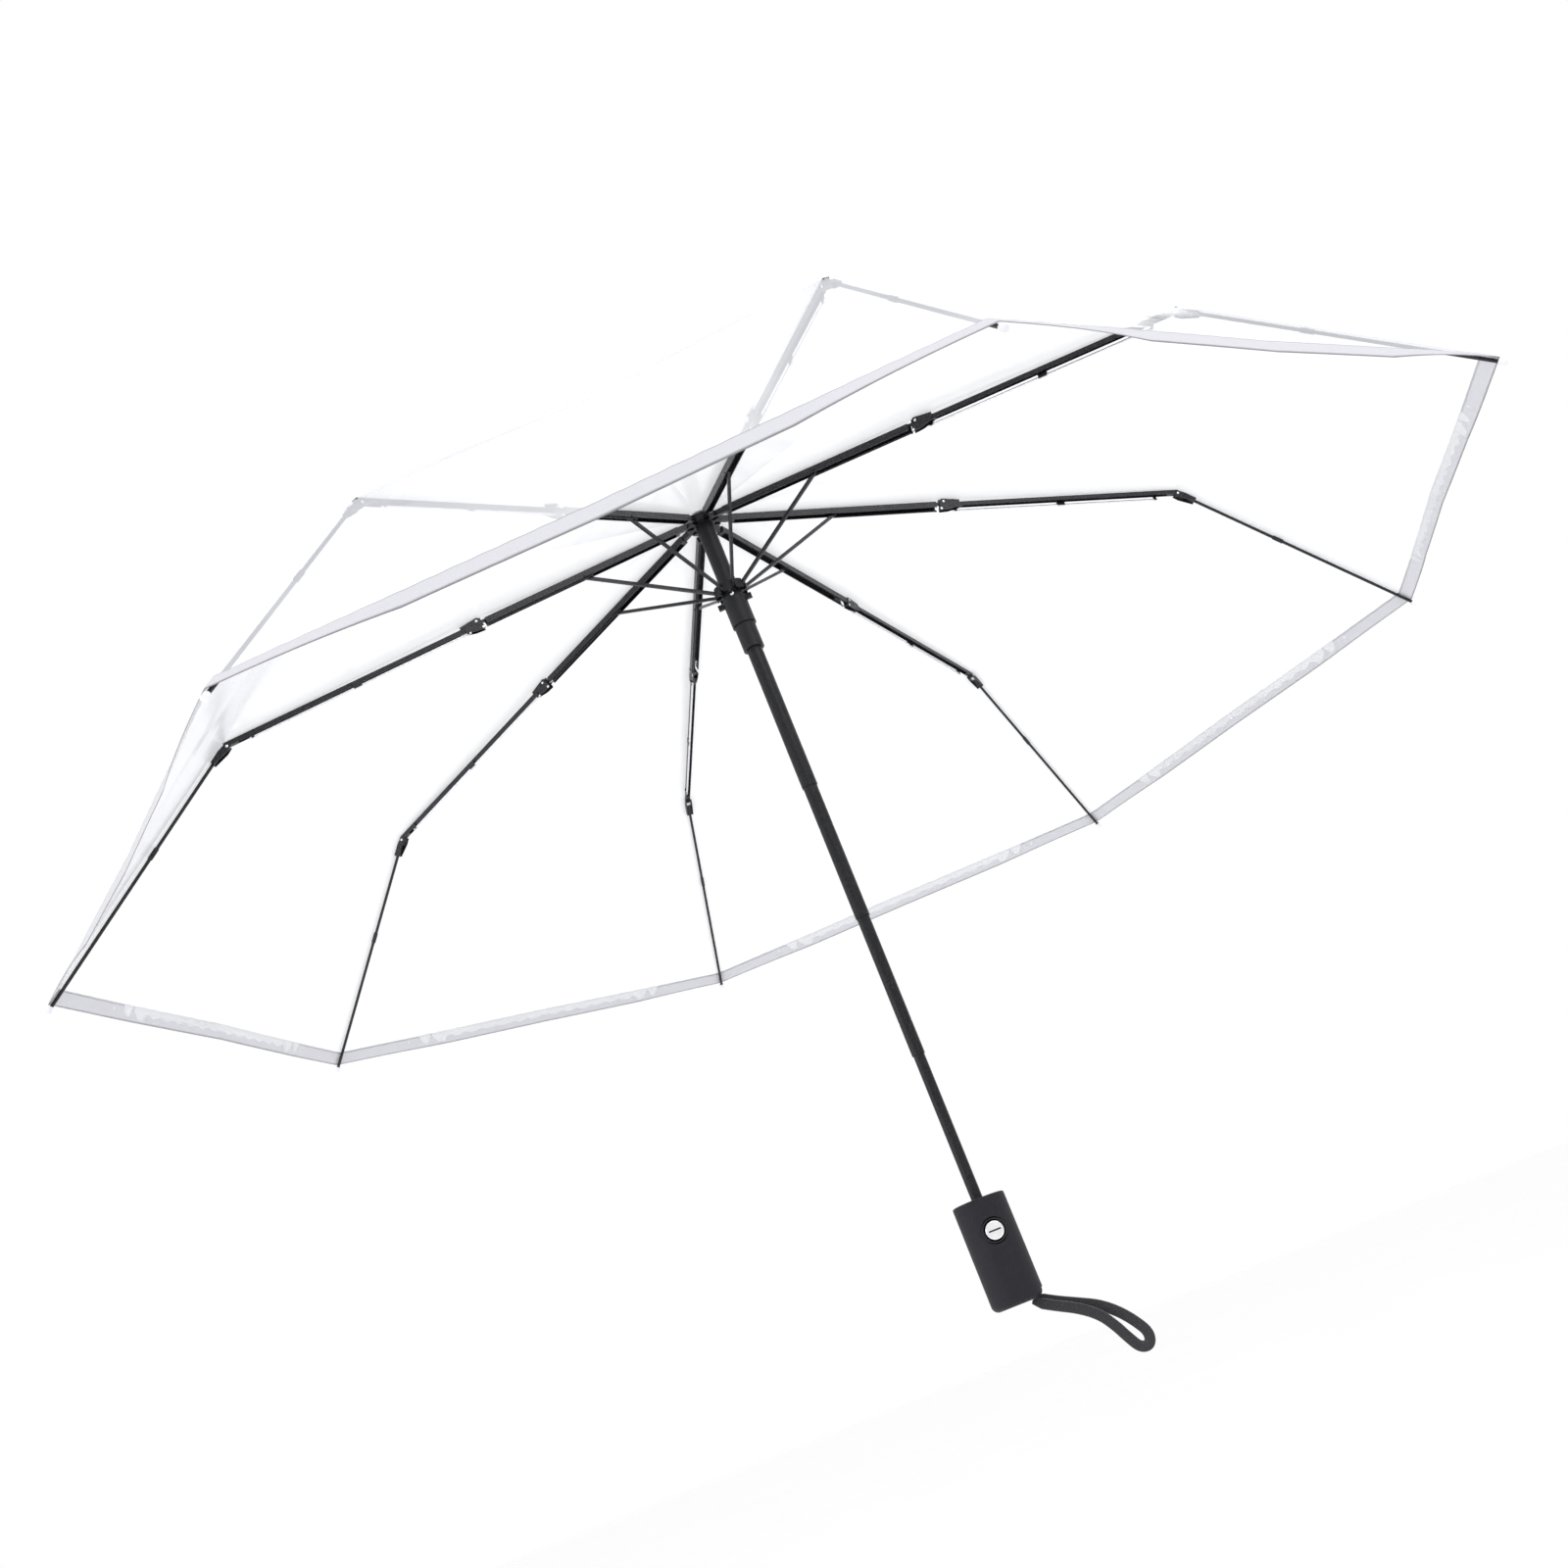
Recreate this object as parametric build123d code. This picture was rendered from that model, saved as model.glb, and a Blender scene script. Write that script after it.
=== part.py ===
from build123d import *

import os
from math import atan2, cos, degrees, hypot, pi, radians, sin, tan

# A clear compact umbrella, open. Its ribs fold in three, its shaft telescopes, and a button in the
# handle releases it. Millimetres and degrees, +Z up the shaft. The origin is the centre of the
# handle's bottom face.

# Driving dimensions
RIB_COUNT = 8
FIRST_RIB_AZIMUTH = 22.5
BUTTON_AZIMUTH = -75.0

CROWN_Z = 565.0  # height of the ring that the inner ribs turn on
CROWN_PIVOT_R = 10.5
RUNNER_Z = 508.0  # height of the stretcher pins on the runner
RUNNER_PIVOT_R = 9.3

INNER_LENGTH, INNER_ANGLE = 167.0, -11.75
MIDDLE_LENGTH, MIDDLE_ANGLE = 181.0, -12.1
OUTER_LENGTH, OUTER_ANGLE = 190.0, -44.8
STRETCHER_ALONG, STRETCHER_DROP = 85.6, -1.6  # its upper pivot, along and off the inner rib's axis

# Each fold's pin stands off the axis of the rib before it, so that the ribs stack when closed
INNER_FOLD_LIFT = 2.2
MIDDLE_FOLD_DROP = -1.8
OUTER_AXIS_LIFT = 1.8

INNER_HALF_WIDTH, INNER_TOP, INNER_BOTTOM, INNER_WALL = 2.8, 2.0, -2.6, 0.5
MIDDLE_HALF_WIDTH, MIDDLE_HALF_HEIGHT, MIDDLE_WALL = 1.8, 1.6, 0.45
OUTER_RADIUS = 1.1
STRETCHER_HALF_WIDTH, STRETCHER_HALF_HEIGHT = 1.0, 1.1
ROOT_HALF_WIDTH, TONGUE_HALF_WIDTH = 1.6, 1.2
RING_WIRE_R, RING_HOLE_R = 0.5, 0.85
PIN_R, PIN_CLEARANCE = 0.6, 0.05

TUBE_OUTER_R = (5.5, 4.9, 4.3, 3.7)  # tube_1 is the widest, at the crown
TUBE_WALL = 0.55
TUBE_STEP = 96.0
TUBE_OVERLAP = 20.0
CROWN_RADIUS, CROWN_HALF_HEIGHT = 12.8, 3.0

HANDLE_RADIUS, HANDLE_HEIGHT = 16.8, 66.0
CAP_HEIGHT = 7.2
CORE_RADIUS = 12.8
MOUTH_RADIUS = 8.3  # the hole in the handle's top that takes in the closed runner's sleeve
MOUTH_FLOOR_Z = 50.0
BUTTON_Z, BUTTON_RADIUS, BUTTON_RECESS_R = 45.0, 5.75, 8.2
BUTTON_FACE_R = 17.0

SLEEVE_RADIUS, SLEEVE_BOTTOM_Z, SLEEVE_TOP_Z = 7.4, 461.0, 480.0
RUNNER_BODY_RADIUS = 8.5
SLIDE_BORE_R = 5.58

FILM_THICKNESS = 0.3
FILM_OVER_MIDDLE, FILM_OVER_OUTER = 2.3, 2.2  # its underside, off those ribs' axes
TAPE_WIDTH, TAPE_THICKNESS = 9.0, 0.4

STRAP_RADIUS = 2.2
STRAP_ROUTE = (
    (8.5, 4.3, 1.2),
    (19.0, 4.6, -5.0),
    (33.5, 5.2, -11.8),
    (44.5, 4.6, -17.2),
    (54.0, 3.6, -25.2),
    (61.0, 3.0, -34.2),
    (65.0, 2.4, -41.6),
    (63.0, 1.8, -48.0),
    (57.0, 1.4, -47.6),
    (52.6, 1.0, -40.0),
    (48.0, 0.2, -30.5),
    (42.0, -0.4, -21.8),
    (32.0, -0.6, -14.2),
    (18.5, -0.6, -7.4),
    (7.5, -0.6, -1.2),
)


# Places in the plane of one rib: (distance from the shaft's axis, height)
def along(start, angle, distance, lift=0.0):
    """The place at this distance from start along a rib's axis, and lifted square to it."""
    a = radians(angle)
    return (
        start[0] + distance * cos(a) - lift * sin(a),
        start[1] + distance * sin(a) + lift * cos(a),
    )


CROWN_PIN = (CROWN_PIVOT_R, CROWN_Z)
INNER_END = along(CROWN_PIN, INNER_ANGLE, INNER_LENGTH)
FOLD_1 = along(CROWN_PIN, INNER_ANGLE, INNER_LENGTH, INNER_FOLD_LIFT)
MIDDLE_END = along(INNER_END, MIDDLE_ANGLE, MIDDLE_LENGTH)
FOLD_2 = along(INNER_END, MIDDLE_ANGLE, MIDDLE_LENGTH, MIDDLE_FOLD_DROP)
OUTER_START = along(FOLD_2, OUTER_ANGLE, 0.0, OUTER_AXIS_LIFT)
STRETCHER_PIN = along(CROWN_PIN, INNER_ANGLE, STRETCHER_ALONG, STRETCHER_DROP)
RUNNER_PIN = (RUNNER_PIVOT_R, RUNNER_Z)
STRETCHER_LENGTH = hypot(STRETCHER_PIN[0] - RUNNER_PIN[0], STRETCHER_PIN[1] - RUNNER_PIN[1])
STRETCHER_ANGLE = degrees(atan2(STRETCHER_PIN[1] - RUNNER_PIN[1], STRETCHER_PIN[0] - RUNNER_PIN[0]))


def plate(corners, half_width, side=0.0):
    """A flat-sided solid with this outline in the rib's plane."""
    face = Plane.XZ * make_face(Polyline(*corners, close=True))
    return Pos(0, side, 0) * extrude(face, half_width, both=True)


def bar(start, angle, first, last, low, high, half_width, side=0.0):
    """A straight bar between two distances along a rib's axis and two heights square to it."""
    ends = ((first, low), (last, low), (last, high), (first, high))
    return plate([along(start, angle, a, lift) for a, lift in ends], half_width, side)


def disc(place, radius, half_width, side=0.0):
    return Pos(place[0], side, place[1]) * Rot(90, 0, 0) * Cylinder(radius, 2 * half_width)


def rod(start, angle, first, last, radius, lift=0.0, side=0.0):
    """A round bar along a rib's axis."""
    middle = along(start, angle, (first + last) / 2, lift)
    return Pos(middle[0], side, middle[1]) * Rot(0, 90 - angle, 0) * Cylinder(radius, last - first)


def upright(radius, low, high):
    return Pos(0, 0, (low + high) / 2) * Cylinder(radius, high - low)


def sleeve(outer, inner, low, high):
    return upright(outer, low, high) - upright(inner, low - 1, high + 1)


def turned(outline):
    """A solid turned about the shaft's axis from (radius, height) corners."""
    return revolve(Plane.XZ * make_face(Polyline(*outline, close=True)), Axis.Z)


def write(node, solid):
    solid.label = node
    export_step(solid, f"parts/{node}.step")


# One rib, in the plane of azimuth 0
def inner_rib():
    """A channel, open below, that the stretcher folds into, with a root for the crown's ring."""
    channel = bar(CROWN_PIN, INNER_ANGLE, 9, 161, INNER_BOTTOM, INNER_TOP, INNER_HALF_WIDTH)
    hollow = bar(
        CROWN_PIN, INNER_ANGLE, 12, 162, INNER_BOTTOM - 1, INNER_TOP - INNER_WALL,
        INNER_HALF_WIDTH - INNER_WALL,
    )
    hollow += bar(  # open above as well where the next rib's cheeks fold in
        CROWN_PIN, INNER_ANGLE, 154, 162, INNER_BOTTOM, INNER_TOP + 1, INNER_HALF_WIDTH - INNER_WALL
    )
    root = disc(CROWN_PIN, INNER_TOP, ROOT_HALF_WIDTH)
    root += bar(CROWN_PIN, INNER_ANGLE, 0, 11, -INNER_TOP, INNER_TOP, ROOT_HALF_WIDTH)
    tongue = bar(CROWN_PIN, INNER_ANGLE, 148, INNER_LENGTH, 0.4, INNER_TOP, TONGUE_HALF_WIDTH)
    tongue += bar(CROWN_PIN, INNER_ANGLE, 163.4, INNER_LENGTH, 0.4, 4.0, TONGUE_HALF_WIDTH)
    tongue += disc(FOLD_1, 1.8, TONGUE_HALF_WIDTH)
    rib = channel - hollow + root + tongue
    rib -= disc(CROWN_PIN, RING_HOLE_R, INNER_HALF_WIDTH)
    rib -= disc(FOLD_1, PIN_R + PIN_CLEARANCE, INNER_HALF_WIDTH)
    return rib - disc(STRETCHER_PIN, PIN_R + PIN_CLEARANCE, 2 * INNER_HALF_WIDTH)


def middle_rib():
    """A slim channel on a bracket of two cheeks, with the drive wire clipped below it."""
    bracket_gap = TONGUE_HALF_WIDTH + 0.3
    lever = along(FOLD_1, MIDDLE_ANGLE, -2.5, -5.8)
    cheek_outline = [
        along(FOLD_1, MIDDLE_ANGLE, *corner)
        for corner in ((-2.4, 1.4), (-1.4, 2.4), (12, 1.0), (12, -4.0), (3.0, -6.4), (-3.6, -6.9),
                       (-3.6, -5.0))
    ]
    cheeks = Part() + [
        plate(cheek_outline, 0.3, side * (bracket_gap + 0.3)) for side in (-1, 1)
    ]
    pins = disc(FOLD_1, PIN_R, bracket_gap + 0.6)
    pins += [disc(lever, PIN_R, 0.45, side * (bracket_gap + 0.45)) for side in (-1, 1)]
    channel = bar(
        INNER_END, MIDDLE_ANGLE, 5, MIDDLE_LENGTH + 1.4, -MIDDLE_HALF_HEIGHT, MIDDLE_HALF_HEIGHT,
        MIDDLE_HALF_WIDTH,
    )
    channel -= bar(
        INNER_END, MIDDLE_ANGLE, 14, MIDDLE_LENGTH - 8, -MIDDLE_HALF_HEIGHT - 1,
        MIDDLE_HALF_HEIGHT - MIDDLE_WALL, MIDDLE_HALF_WIDTH - MIDDLE_WALL,
    )
    bridge = bar(INNER_END, MIDDLE_ANGLE, 5, 12, -1.3, 1.0, bracket_gap + 0.1)
    wire_side, wire_drop = 2.1, -3.6
    wire = rod(INNER_END, MIDDLE_ANGLE, 7, 166, 0.7, wire_drop, wire_side)
    arms = [
        bar(INNER_END, MIDDLE_ANGLE, first, last, wire_drop - 0.6, 0.0, 0.8, 2.1)
        for first, last in ((8, 10), (87, 93), (163, 165))
    ]
    end_boss = disc(FOLD_2, 1.5, MIDDLE_HALF_WIDTH)
    rib = channel + cheeks + pins + bridge + wire + arms + end_boss
    return rib - disc(FOLD_2, PIN_R + PIN_CLEARANCE, 2 * MIDDLE_HALF_WIDTH)


def outer_rib():
    """A round rod on a bracket of two cheeks, with a ferrule half way and a cap at its tip."""
    bracket_gap = MIDDLE_HALF_WIDTH + 0.3
    outline = [
        along(FOLD_2, OUTER_ANGLE, *corner)
        for corner in ((-1.9, -1.9), (3.0, -2.1), (14, 0.2), (14, 3.0), (5.0, 3.1), (-0.6, 2.1))
    ]
    cheeks = Part() + [plate(outline, 0.3, side * (bracket_gap + 0.3)) for side in (-1, 1)]
    pin = disc(FOLD_2, PIN_R, bracket_gap + 0.6)
    bridge = bar(FOLD_2, OUTER_ANGLE, 5.5, 14, 0.6, 2.9, bracket_gap + 0.1)
    shank = rod(OUTER_START, OUTER_ANGLE, 10, OUTER_LENGTH + 2, OUTER_RADIUS)
    ferrule = rod(OUTER_START, OUTER_ANGLE, 78, 86, 1.2 + 0.35)
    ferrule = ferrule & bar(OUTER_START, OUTER_ANGLE, 70, 90, -1.5, 1.5, 1.2)
    tip = rod(OUTER_START, OUTER_ANGLE, OUTER_LENGTH + 0.9, OUTER_LENGTH + 4.9, 1.8)
    return cheeks + pin + bridge + shank + ferrule + tip


def stretcher():
    """A bar from the runner to the inner rib's channel, with a cross pin at each end."""
    reach = STRETCHER_LENGTH
    solid = bar(
        RUNNER_PIN, STRETCHER_ANGLE, 0, reach, -STRETCHER_HALF_HEIGHT, STRETCHER_HALF_HEIGHT,
        STRETCHER_HALF_WIDTH,
    )
    solid += disc(RUNNER_PIN, STRETCHER_HALF_HEIGHT, STRETCHER_HALF_WIDTH)
    solid += disc(STRETCHER_PIN, STRETCHER_HALF_HEIGHT, STRETCHER_HALF_WIDTH)
    solid += disc(RUNNER_PIN, PIN_R, 2.2)
    return solid + disc(STRETCHER_PIN, PIN_R, INNER_HALF_WIDTH + 0.4)


def link_rod():
    """The thin rod beside the stretcher that shifts along under the inner rib as it folds."""
    drop, side = -3.4, 1.9
    solid = rod(CROWN_PIN, INNER_ANGLE, 80.5, 161, 0.45, drop, side)
    for end in (80.5, 161):
        solid += disc(along(CROWN_PIN, INNER_ANGLE, end, drop), 0.75, 0.3, side)
    return solid


# The shaft, the crown and the runner
def tube(index):
    """Shaft tube 1 to 4 from the crown down; each slides inside the one above it."""
    outer = TUBE_OUTER_R[index - 1]
    bottom = HANDLE_HEIGHT + (4 - index) * TUBE_STEP
    top = HANDLE_HEIGHT + (5 - index) * TUBE_STEP + TUBE_OVERLAP
    if index == 1:
        top = CROWN_Z + CROWN_HALF_HEIGHT - 2
    if index == 4:
        bottom = CAP_HEIGHT + 6
    solid = sleeve(outer, outer - TUBE_WALL, bottom, top)
    if index in (2, 3):
        groove = bottom + (65 if index == 2 else 22)
        solid -= sleeve(outer + 1, outer - 0.15, groove, groove + 1.2)
    return solid


def crown():
    """The notched hub that the inner ribs turn in, with the neck below it."""
    low, high = CROWN_Z - CROWN_HALF_HEIGHT, CROWN_Z + CROWN_HALF_HEIGHT
    hub = upright(CROWN_RADIUS, low, high) + upright(6.2, RUNNER_Z + 4.0, low)
    hub -= upright(TUBE_OUTER_R[0] + 0.02, low - 100, high - 2)
    hub -= upright(2.55, low, high + 1)
    for azimuth in rib_azimuths():
        slot = Pos(CROWN_RADIUS, 0, CROWN_Z) * Box(
            2 * (CROWN_RADIUS - 7.8), 2 * (ROOT_HALF_WIDTH + 0.3), 3 * CROWN_HALF_HEIGHT
        )
        hub -= Rot(0, 0, azimuth) * slot
    return hub - Pos(0, 0, CROWN_Z) * Torus(CROWN_PIVOT_R, RING_WIRE_R + 0.02)


def top_cap():
    """The round cap above the film, whose post sits in the crown."""
    head = Pos(0, 0, 569.0) * Cylinder(9.0, 2.2, align=(Align.CENTER, Align.CENTER, Align.MIN))
    head = fillet(head.edges().group_by(Axis.Z)[-1], 2.0)
    return head + upright(2.5, CROWN_Z + 1.5, 570)


def runner():
    """The slider: a notched hub for the stretcher pins, a flange with two lugs, and a body."""
    solid = upright(11.8, 504.5, 511.3) + upright(6.9, 499.5, 506) + upright(8.6, 497.2, 501.0)
    solid += upright(RUNNER_BODY_RADIUS, SLEEVE_TOP_Z, 498)
    solid += Pos(0, 0, 499.1) * Box(25, 2.6, 3.8)
    notch_outline = ((8.3, 509.2), (10.3, 509.2), (11.4, 503.5), (8.3, 503.5))
    for azimuth in rib_azimuths():
        slot = Pos(11.8, 0, RUNNER_Z) * Box(8.8, 2 * (STRETCHER_HALF_WIDTH + 0.3), 9)
        solid -= Rot(0, 0, azimuth) * (slot + plate(notch_outline, 2.75))
    return solid - upright(SLIDE_BORE_R, 470, 520)


def runner_sleeve():
    return sleeve(SLEEVE_RADIUS, SLIDE_BORE_R, SLEEVE_BOTTOM_Z, SLEEVE_TOP_Z)


def main_spring():
    """The opening spring's coil, inside the top of tube_1."""
    coil = Helix(pitch=5.0, height=70, radius=3.6)
    section = Plane(origin=coil @ 0, z_dir=coil % 0) * Circle(0.45)
    return Pos(0, 0, 484) * sweep(section, coil)


def rib_azimuths():
    return [FIRST_RIB_AZIMUTH + 360 / RIB_COUNT * k for k in range(RIB_COUNT)]


# The canopy: flat panels of film between the ribs, and a tape folded over each edge of its rim
def film_bend():
    """Where the film's line over the middle rib meets its line over the outer rib."""
    first = along(MIDDLE_END, MIDDLE_ANGLE, 0, FILM_OVER_MIDDLE)
    second = along(OUTER_START, OUTER_ANGLE, 0, FILM_OVER_OUTER)
    slope_1, slope_2 = tan(radians(MIDDLE_ANGLE)), tan(radians(OUTER_ANGLE))
    r = (second[1] - first[1] + slope_1 * first[0] - slope_2 * second[0]) / (slope_1 - slope_2)
    return (r, first[1] + slope_1 * (r - first[0]))


FILM_PROFILE = (
    (4.0, CROWN_Z + 3.6),
    (13.5, CROWN_Z + 3.3),
    along(FOLD_1, MIDDLE_ANGLE, 0, 3.0),
    film_bend(),
    along(OUTER_START, OUTER_ANGLE, OUTER_LENGTH, FILM_OVER_OUTER),
)


def ring_of(place):
    """The corners where this place of the profile meets each rib."""
    return [
        Vector(place[0] * cos(radians(a)), place[0] * sin(radians(a)), place[1])
        for a in rib_azimuths()
    ]


def faceted(loop):
    """A solid ring of flat panels through a closed loop of (radius, height) places."""
    rings = [ring_of(place) for place in loop]
    faces = []
    for ring, following in zip(rings, rings[1:] + rings[:1]):
        for k in range(RIB_COUNT):
            j = (k + 1) % RIB_COUNT
            corners = (ring[k], ring[j], following[j], following[k])
            faces.append(Face(Wire.make_polygon(corners, close=True)))
    return Solid(Shell(faces))


def canopy():
    raised = [(r, z + FILM_THICKNESS) for r, z in FILM_PROFILE]
    return faceted(list(FILM_PROFILE) + raised[::-1])


def rim_binding():
    """The tape over the rim: one thickness above the film, one below, joined past its edge."""
    rim = FILM_PROFILE[-1]
    a = radians(OUTER_ANGLE)
    slope = (cos(a), sin(a))
    gap = 0.05

    def place(back, height):
        return (rim[0] - back * slope[0], rim[1] - back * slope[1] + height)

    top, bottom = FILM_THICKNESS + gap, -gap
    beyond = -0.6
    outer = [
        place(TAPE_WIDTH, top + TAPE_THICKNESS),
        place(beyond, top + TAPE_THICKNESS),
        place(beyond, bottom - TAPE_THICKNESS),
        place(TAPE_WIDTH, bottom - TAPE_THICKNESS),
        place(TAPE_WIDTH, bottom),
        place(-gap, bottom),
        place(-gap, top),
        place(TAPE_WIDTH, top),
    ]
    return faceted(outer)


# The handle
def radially(solid, radius):
    """Stands a solid that points up the Z axis out of the handle at the button's azimuth."""
    return (
        Rot(0, 0, BUTTON_AZIMUTH) * Pos(radius, 0, BUTTON_Z) * Rot(0, 90, 0) * solid
    )


def handle_grip():
    shell = turned(
        ((HANDLE_RADIUS, CAP_HEIGHT), (HANDLE_RADIUS, HANDLE_HEIGHT), (MOUTH_RADIUS, HANDLE_HEIGHT),
         (MOUTH_RADIUS, 63.0), (CORE_RADIUS + 0.05, 63.0), (CORE_RADIUS + 0.05, CAP_HEIGHT))
    )
    top = shell.edges().filter_by(GeomType.CIRCLE).sort_by(Axis.Z)[-2:]
    shell = fillet([e for e in top if e.radius > CORE_RADIUS], 1.2)
    return shell - radially(Cylinder(BUTTON_RECESS_R, 12), HANDLE_RADIUS)


def handle_core():
    """The moulding inside the grip, with the tube's socket, the mouth and the button's pocket."""
    core = upright(CORE_RADIUS, CAP_HEIGHT + 4, 62.9)
    core -= upright(MOUTH_RADIUS, MOUTH_FLOOR_Z, 63) + upright(TUBE_OUTER_R[3] + 0.02, CAP_HEIGHT, 60)
    core -= radially(Cylinder(6.1, 10), 12.4)
    core -= upright(10.9, 33, 37.2)
    return core - radially(Pos(5.5, 0, 0) * Box(10.0, 5.0, 11), 9.6)


def handle_end_cap():
    """The base of the handle, notched where the wrist strap comes out."""
    cap = upright(HANDLE_RADIUS, 0, CAP_HEIGHT)
    cap = fillet(cap.edges().group_by(Axis.Z)[0], 4.5)
    cap += upright(CORE_RADIUS, CAP_HEIGHT - 1, CAP_HEIGHT + 3.9)
    notch = Box(16, 11.4, 9, align=(Align.MIN, Align.CENTER, Align.CENTER))
    return cap - Pos(5.2, 1.95, 0.6) * notch


def push_button():
    head = Cylinder(BUTTON_RADIUS, 5.8, align=(Align.CENTER, Align.CENTER, Align.MAX))
    head = fillet(head.edges().group_by(Axis.Z)[-1], 0.8)
    return radially(head, BUTTON_FACE_R)


def latch_slider():
    """The yoke round the inner tube, which the button pushes to free the runner."""
    yoke = sleeve(8.0, 6.6, 33.6, 36.6)
    return yoke + radially(Pos(6.2, 0, 0) * Box(5.6, 3.6, 2.0), 9.9 - 2.3)


def button_spring():
    coil = Helix(pitch=1.0, height=2.6, radius=1.9)
    section = Plane(origin=coil @ 0, z_dir=coil % 0) * Circle(0.2)
    return radially(sweep(section, coil), 8.0)


def wrist_strap():
    """A soft cord that leaves the base, turns at its far end and comes back."""
    points = [Vector(*p) for p in STRAP_ROUTE]
    runs = [b - a for a, b in zip(points, points[1:])]
    radii = []
    for before, after in zip(runs, runs[1:]):
        half_turn = radians(before.get_angle(after)) / 2
        radii.append(0.45 * min(before.length, after.length) / tan(half_turn))
    print("strap radii", [round(r, 1) for r in radii])
    path = FilletPolyline(*points, radius=radii)
    section = Plane(origin=path @ 0, z_dir=path % 0) * Circle(STRAP_RADIUS)
    solid = sweep(section, path)
    print("strap length", round(path.length, 1), "volume ratio",
          round(solid.volume / (pi * STRAP_RADIUS**2 * path.length), 4))
    return solid


def main():
    os.makedirs("parts", exist_ok=True)
    rib_pieces = {
        "inner_rib": inner_rib(),
        "middle_rib": middle_rib(),
        "outer_rib": outer_rib(),
        "stretcher": stretcher(),
        "link_rod": link_rod(),
    }
    for number, azimuth in enumerate(rib_azimuths(), 1):
        for name, solid in rib_pieces.items():
            write(f"{name}_{number}", Rot(0, 0, azimuth) * solid)
    for index in (1, 2, 3, 4):
        write(f"shaft_tube_{index}", tube(index))
    whole = {
        "crown": crown(),
        "crown_wire_ring": Pos(0, 0, CROWN_Z) * Torus(CROWN_PIVOT_R, RING_WIRE_R),
        "top_cap": top_cap(),
        "runner": runner(),
        "runner_sleeve": runner_sleeve(),
        "main_spring": main_spring(),
        "canopy": canopy(),
        "rim_binding": rim_binding(),
        "handle_grip": handle_grip(),
        "handle_core": handle_core(),
        "handle_end_cap": handle_end_cap(),
        "push_button": push_button(),
        "latch_slider": latch_slider(),
        "button_spring": button_spring(),
        "wrist_strap": wrist_strap(),
    }
    for node, solid in whole.items():
        write(node, solid)


main()
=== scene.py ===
from math import cos, hypot, pi, radians, sin, tan

import bpy
from mathutils import Matrix, Vector


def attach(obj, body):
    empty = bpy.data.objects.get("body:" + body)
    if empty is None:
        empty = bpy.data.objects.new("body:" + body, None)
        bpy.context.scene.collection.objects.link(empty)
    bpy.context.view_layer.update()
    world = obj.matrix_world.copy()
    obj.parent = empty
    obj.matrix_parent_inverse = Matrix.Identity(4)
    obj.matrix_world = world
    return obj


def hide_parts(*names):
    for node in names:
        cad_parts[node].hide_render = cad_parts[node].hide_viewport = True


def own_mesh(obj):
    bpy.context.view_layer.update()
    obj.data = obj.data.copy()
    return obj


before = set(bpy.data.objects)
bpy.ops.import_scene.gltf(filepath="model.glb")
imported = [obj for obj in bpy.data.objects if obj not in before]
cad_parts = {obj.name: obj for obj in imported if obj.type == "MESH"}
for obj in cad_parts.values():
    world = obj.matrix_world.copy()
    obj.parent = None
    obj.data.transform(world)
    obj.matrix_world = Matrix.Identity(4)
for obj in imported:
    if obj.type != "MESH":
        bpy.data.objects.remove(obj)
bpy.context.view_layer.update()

# Sizes, in metres and degrees, in the frame of the CAD model. A pair is a place in the plane of
# one rib: the distance from the shaft's axis and the height.
RIB_COUNT = 8
FIRST_RIB_AZIMUTH = 22.5
BUTTON_AZIMUTH = -75.0
HALF_GORE = pi / RIB_COUNT

CROWN_PIN = (0.0105, 0.565)
INNER_LENGTH, INNER_ANGLE = 0.167, -11.75
MIDDLE_LENGTH, MIDDLE_ANGLE = 0.181, -12.1
OUTER_LENGTH, OUTER_ANGLE = 0.190, -44.8
INNER_FOLD_LIFT, MIDDLE_FOLD_DROP, OUTER_AXIS_LIFT = 0.0022, -0.0018, 0.0018
TIP_START = 0.1895  # where the pale tip starts on the outer rib

FILM_TOP = (0.0042, 0.5687)
FILM_OVER_FOLD, FILM_OVER_MIDDLE, FILM_OVER_OUTER = 0.0031, 0.0025, 0.0024
BEND_AT_RIB, BEND_AT_GORE = 0.006, 0.045  # reach of the film's rounded bends
FILM_RISE = 0.0035  # of the gore's middle over the chord between the ribs
RIM_SLACK, SLACK_FROM, SLACK_INWARD = 0.004, 0.8, 0.6

TAPE_WIDTH = 0.0105
TAPE_HANG = radians(20)  # how much steeper than the film the tape hangs between the ribs
TAPE_HANG_FROM, TAPE_HANG_POWER = 0.5, 2.5
TAPE_STANDS_OFF, TAPE_PAST_RIM = 0.0005, 0.0006
TAPE_COLUMNS, TAPE_ROWS = 56, 10
FOLD_SHARPNESS = 12
PUCKER, PUCKER_HALF_WAVES = 0.00012, 26

BUTTON_Z, BUTTON_FACE_R = 0.045, 0.017
COLLAR_R, COLLAR_RING_R, COLLAR_AT_R = 0.0072, 0.0009, 0.0150
SLOT_SIZE, SLOT_STANDS_OFF, SLOT_BEVEL = (0.0078, 0.0010, 0.0003), 0.00005, 0.0001

WIRE_ALONG, WIRE_DROP, WIRE_SIDE, WIRE_RADIUS = (0.0068, 0.1662), -0.0036, 0.0021, 0.00084
LEVER_ALONG, LEVER_DROP = -0.0025, -0.0058
FIRST_FOLD_HALF_WIDTH, SECOND_FOLD_HALF_WIDTH = 0.0021, 0.0027
RIVET_RADIUS, RIVET_HEIGHT = 0.0010, 0.0005
RUNNER_RIVET_Z, RUNNER_RIVET_TURN = 0.5028, radians(5)
RUNNER_RIVET_R, RUNNER_RIVET_RADIUS = (0.0062, 0.0076), 0.0015

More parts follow.
